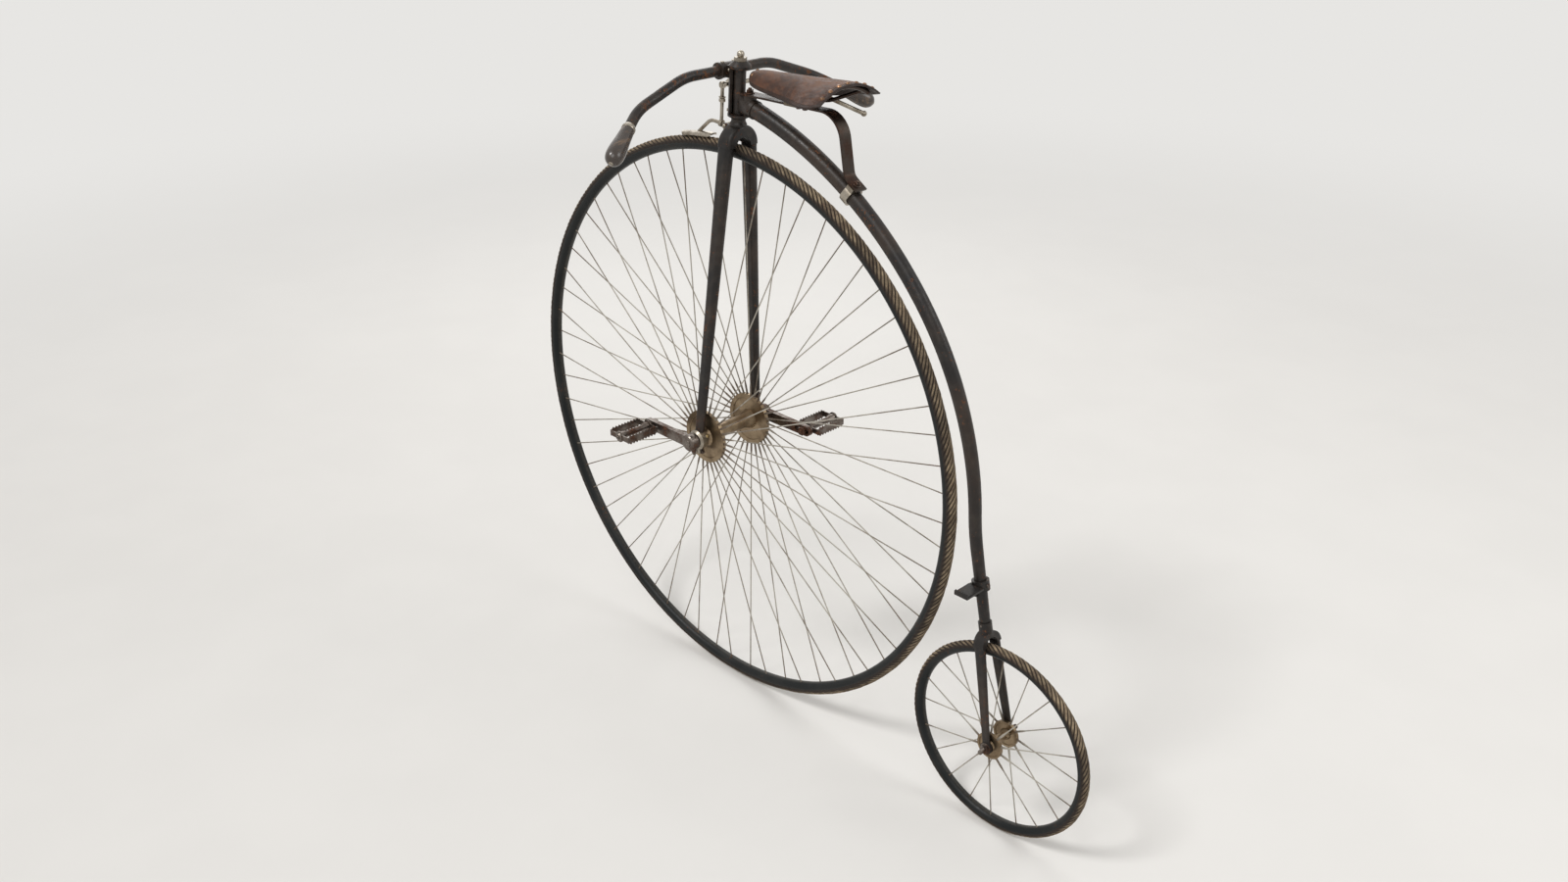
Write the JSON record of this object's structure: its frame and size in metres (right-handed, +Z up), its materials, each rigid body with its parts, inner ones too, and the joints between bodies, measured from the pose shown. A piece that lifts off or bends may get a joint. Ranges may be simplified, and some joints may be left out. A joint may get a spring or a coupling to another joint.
{
  "type": "penny farthing bicycle",
  "caption": "High-wheel bicycle with a large driven front wheel, a small rear wheel, a curved backbone, sprung leather saddle and spoon brake.",
  "frame": {"origin": "top of the saddle's leather where the rider sits", "axes": "+X forward, +Y to the rider's left along the axles, +Z up"},
  "size_m": [1.7471, 0.7648, 1.5668],
  "materials": {
    "enamel": "worn black enamel",
    "rim_enamel": "near-black enamel, satin",
    "tread": "aged solid rubber with slanting ribs, tan where worn",
    "spoke_wire": "dull tinned wire",
    "gunmetal": "dull gunmetal",
    "nickel": "tarnished nickel plate",
    "steel": "dark steel with brown rust",
    "spring_steel": "blackened spring steel",
    "leather": "worn brown leather",
    "horn": "polished dark horn"
  },
  "bodies": {
    "frame": {"backbone": "enamel", "neck": "enamel", "rear_crown": "enamel", "rear_blade_left": "enamel", "rear_blade_right": "enamel", "rear_axle": "steel", "saddle_spring": "spring_steel", "spring_clip": "nickel", "saddle_block": "nickel", "saddle_frame": "spring_steel", "saddle_leather": "leather", "step": "enamel"},
    "steering": {"head": "enamel", "head_screw": "nickel", "fork_blade_left": "enamel", "fork_blade_right": "enamel", "front_bearing_left": "nickel", "front_bearing_right": "nickel", "handlebar": "enamel", "grip_left": "horn", "grip_right": "horn", "brake_lever": "nickel", "brake_push_rod": "nickel", "brake_spoon": "nickel"},
    "front_wheel": {"front_tyre": "tread", "front_rim": "rim_enamel", "front_spokes": "spoke_wire", "front_hub": "gunmetal", "front_axle": "steel", "crank_left": "steel", "crank_right": "steel", "pedal_pin_left": "steel", "pedal_pin_right": "steel"},
    "pedal_left": {"pedal_cage_left": "steel", "pedal_barrel_left": "steel"},
    "pedal_right": {"pedal_cage_right": "steel", "pedal_barrel_right": "steel"},
    "rear_wheel": {"rear_tyre": "tread", "rear_rim": "rim_enamel", "rear_spokes": "spoke_wire", "rear_hub": "gunmetal"}
  },
  "joints": [
    {"name": "steering", "type": "hinge", "parent": "frame", "child": "steering", "pos_m": [0.18227, 0, -0.05789], "axis": [-0.0698, 0, 0.9976], "range_deg": [-50, 50]},
    {"name": "front_wheel_spin", "type": "hinge", "parent": "steering", "child": "front_wheel", "pos_m": [0.238, 0, -0.85495], "axis": [0, 1, 0], "continuous": true},
    {"name": "pedal_left_spin", "type": "hinge", "parent": "front_wheel", "child": "pedal_left", "pos_m": [0.378, 0.172, -0.85495], "axis": [0, 1, 0], "continuous": true},
    {"name": "pedal_right_spin", "type": "hinge", "parent": "front_wheel", "child": "pedal_right", "pos_m": [0.098, -0.172, -0.85495], "axis": [0, 1, 0], "continuous": true},
    {"name": "rear_wheel_spin", "type": "hinge", "parent": "frame", "child": "rear_wheel", "pos_m": [-0.59458, 0, -1.31245], "axis": [0, 1, 0], "continuous": true}
  ]
}
